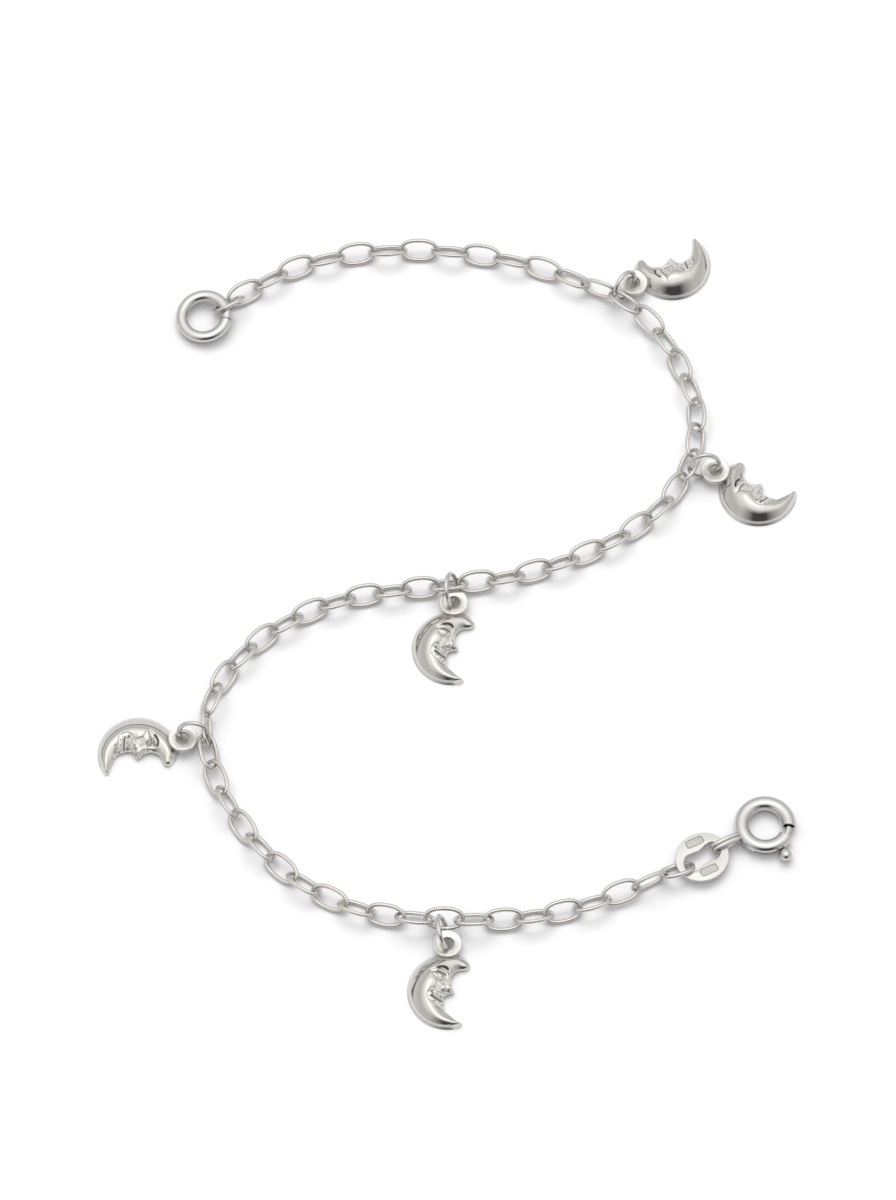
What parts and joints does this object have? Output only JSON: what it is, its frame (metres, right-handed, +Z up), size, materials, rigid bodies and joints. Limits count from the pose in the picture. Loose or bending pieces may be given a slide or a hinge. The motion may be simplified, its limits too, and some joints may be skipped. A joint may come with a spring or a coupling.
{
  "type": "silver charm bracelet",
  "caption": "Fine oval cable-chain bracelet lying open in an S, with crescent-moon charms on jump rings, an end ring, an oval tag and a spring-ring clasp.",
  "frame": {"origin": "middle of the bracelet's footprint, on the surface that it lies on", "axes": "+Z up from the surface; the S runs from its end ring at -X +Y to its clasp at +X -Y, and +Y points to the end ring's side"},
  "size_m": [0.0658, 0.082, 0.0032],
  "materials": {
    "polished_silver": "polished sterling silver",
    "milled_silver": "sterling silver wire with fine milled ridges",
    "satin_silver": "satin sterling silver"
  },
  "bodies": {
    "bracelet": {"chain_run_1": "milled_silver", "chain_run_2": "milled_silver", "chain_run_3": "milled_silver", "chain_run_4": "milled_silver", "chain_run_5": "milled_silver", "chain_run_6": "milled_silver", "charm_link_1": "milled_silver", "charm_link_2": "milled_silver", "charm_link_3": "milled_silver", "charm_link_4": "milled_silver", "charm_link_5": "milled_silver", "jump_ring_1": "polished_silver", "jump_ring_2": "polished_silver", "jump_ring_3": "polished_silver", "jump_ring_4": "polished_silver", "jump_ring_5": "polished_silver", "moon_charm_1": "polished_silver", "moon_charm_2": "polished_silver", "moon_charm_3": "polished_silver", "moon_charm_4": "polished_silver", "moon_charm_5": "polished_silver", "end_ring": "polished_silver", "end_link": "polished_silver", "tag_link": "polished_silver", "tag": "satin_silver", "clasp_body": "polished_silver"},
    "clasp_thumb_bolt": {"clasp_trigger": "polished_silver"}
  },
  "joints": [
    {"name": "clasp_bolt_slide", "type": "hinge", "parent": "bracelet", "child": "clasp_thumb_bolt", "pos_m": [0.0293, -0.02084, 0.00069], "axis": [0, 0, -1], "range_deg": [0, 45], "stiffness_Nm_per_rad": 0.004, "springref_deg": -17.19}
  ]
}
